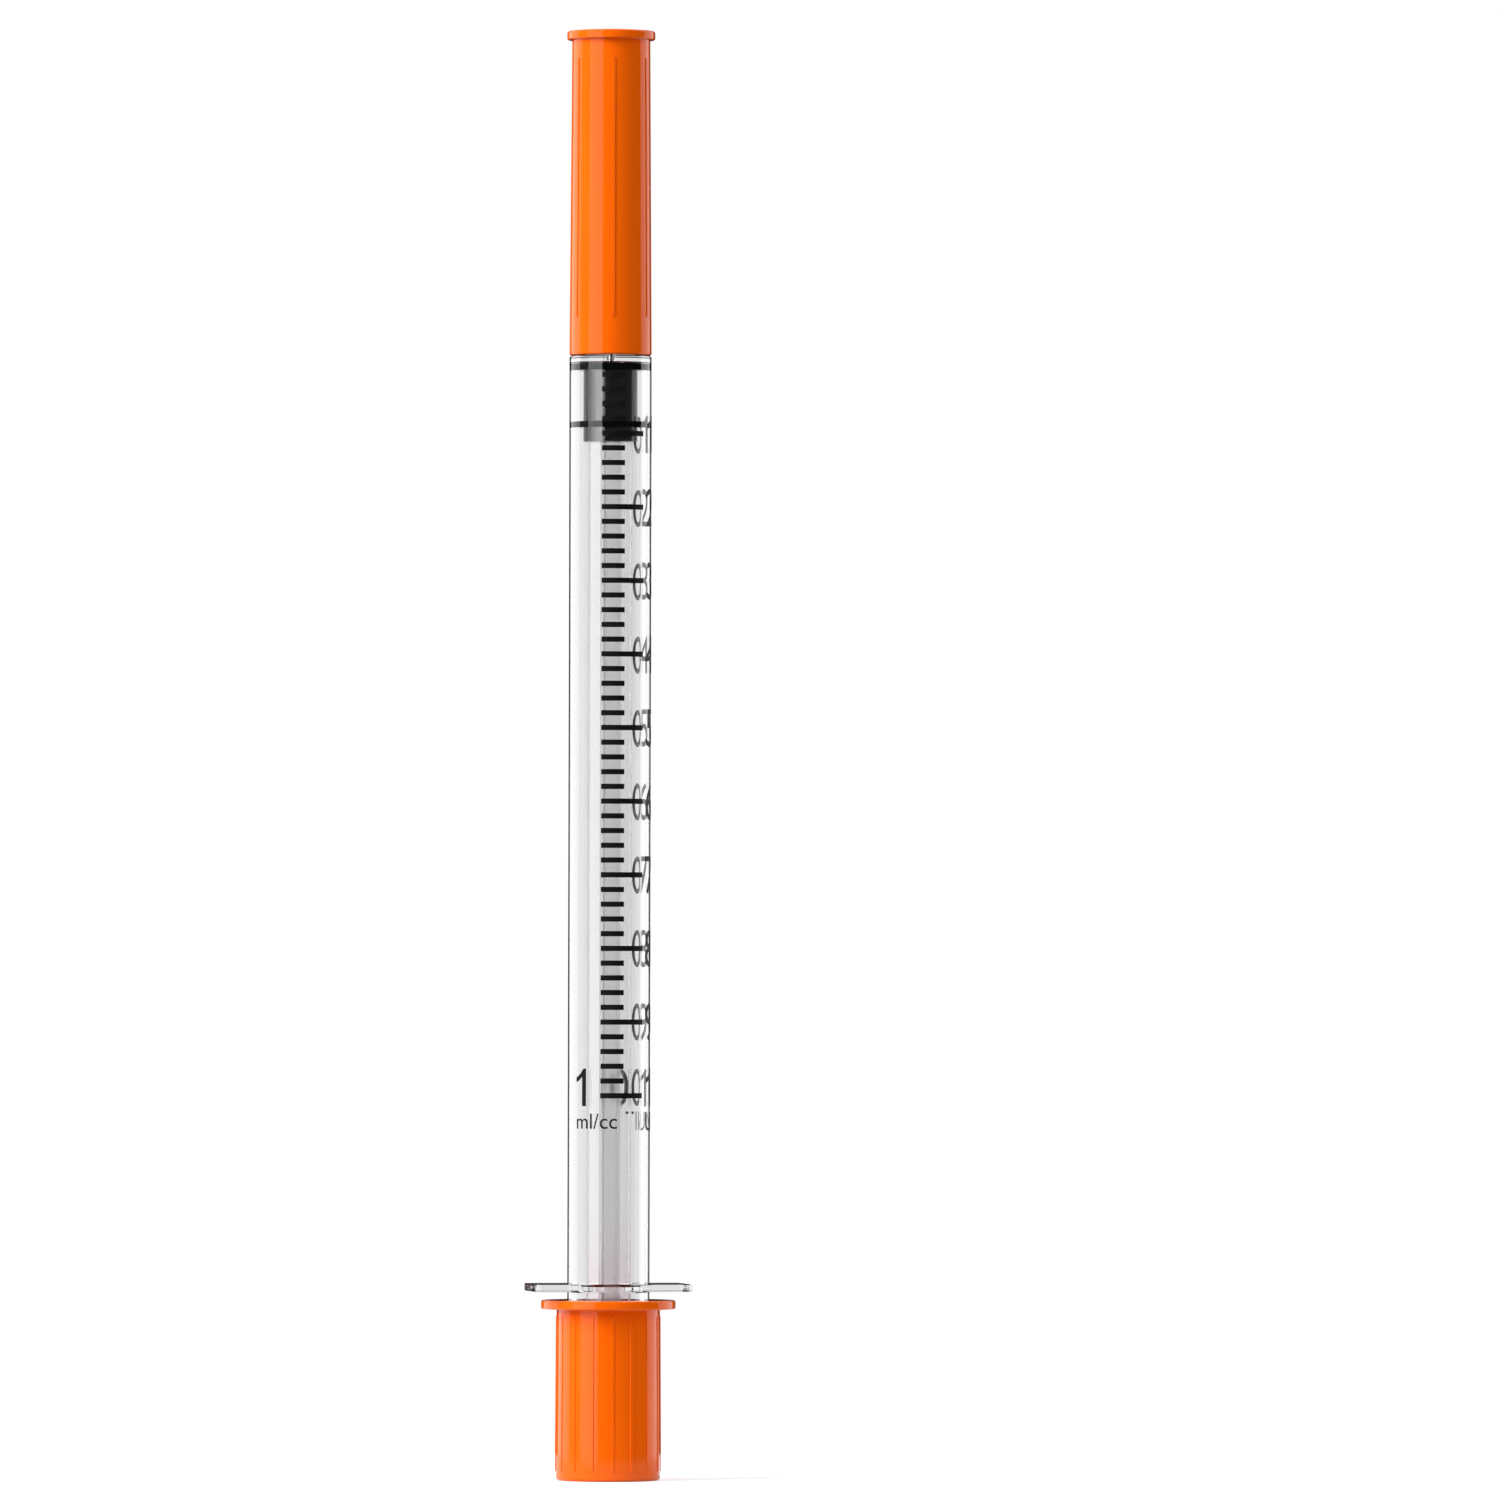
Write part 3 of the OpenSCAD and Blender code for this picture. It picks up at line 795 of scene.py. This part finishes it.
def letter_shapes(words, spacing=1):
    """A flat mesh of the words in a plain built-in typeface, moved to start at zero, and its size."""
    if words == "1":
        return one_shape()
    curve = bpy.data.curves.new("words", "FONT")
    curve.body = words
    curve.resolution_u = 6
    curve.space_character = spacing
    lettering = bpy.data.objects.new("words", curve)
    flat_data = bpy.data.meshes.new_from_object(lettering)
    bpy.data.objects.remove(lettering)
    bpy.data.curves.remove(curve)
    flat = bmesh.new()
    flat.from_mesh(flat_data)
    bpy.data.meshes.remove(flat_data)
    bmesh.ops.remove_doubles(flat, verts=flat.verts, dist=0.0001)
    low = Vector([min(corner.co[way] for corner in flat.verts) for way in range(3)])
    high = Vector([max(corner.co[way] for corner in flat.verts) for way in range(3)])
    bmesh.ops.translate(flat, verts=flat.verts, vec=-low)
    return flat, high - low


def letter_width(words):
    """How wide the words are in the typeface."""
    flat, size = letter_shapes(words)
    flat.free()
    return size.x


def print_round(mesh, words, wide, tall, start, middle_z, spacing=1):
    """Adds words in ink, wide and tall in millimetres, wrapped round the tube from the angle start."""
    flat, size = letter_shapes(words, spacing)
    bmesh.ops.scale(flat, verts=flat.verts, vec=(wide / size.x * mm, tall / size.y * mm, 1))
    cuts = max(2, round(wide * cuts_per_mm))
    for cut in range(1, cuts):
        bmesh.ops.bisect_plane(
            flat, geom=flat.verts[:] + flat.edges[:] + flat.faces[:],
            plane_co=(wide * cut / cuts * mm, 0, 0), plane_no=(1, 0, 0),
        )
    thick = bmesh.ops.extrude_face_region(flat, geom=flat.faces[:])["geom"]
    top = [part for part in thick if isinstance(part, bmesh.types.BMVert)]
    bmesh.ops.translate(flat, verts=top, vec=(0, 0, (ink_top - ink_foot) * mm))
    for corner in flat.verts:
        angle = start + corner.co.x / (tube_r * mm)
        out = (tube_r + ink_foot) * mm + corner.co.z
        height = middle_z * mm + corner.co.y - tall / 2 * mm
        corner.co = (math.cos(angle) * out, math.sin(angle) * out, height)
    wrapped = bpy.data.meshes.new("words")
    flat.to_mesh(wrapped)
    flat.free()
    mesh.from_mesh(wrapped)
    bpy.data.meshes.remove(wrapped)


def print_number(mesh, number, middle_z):
    """Adds a number, each of its figures in the middle of its own equal step round the tube."""
    for step, figure in enumerate(str(number)):
        wide = figure_wide * letter_width(figure) / letter_width("0")
        middle = figure_start + figure_advance * (step + 0.5)
        print_round(mesh, figure, wide, figure_tall, middle - wide / 2 / tube_r, middle_z)


figures_mesh = bmesh.new()
for unit in ten_units:
    raised = last_figure_rise if unit == 100 else 0
    print_number(figures_mesh, unit, zero_z - unit_rise * unit + raised)
print_round(
    figures_mesh, "1", wide=0.94, tall=figure_tall, start=math.radians(209.2), middle_z=29,
)
finished("scale_figures", figures_mesh, "barrel", ink)
words_mesh = bmesh.new()
print_round(
    words_mesh, "ml/cc", wide=3.27, tall=1.13, start=math.radians(210.2), middle_z=26.51,
)
print_round(
    words_mesh, "UNIT", wide=4.78, tall=1.38, start=math.radians(322.6), middle_z=26.5, spacing=1.15,
)
finished("scale_words", words_mesh, "barrel", ink)
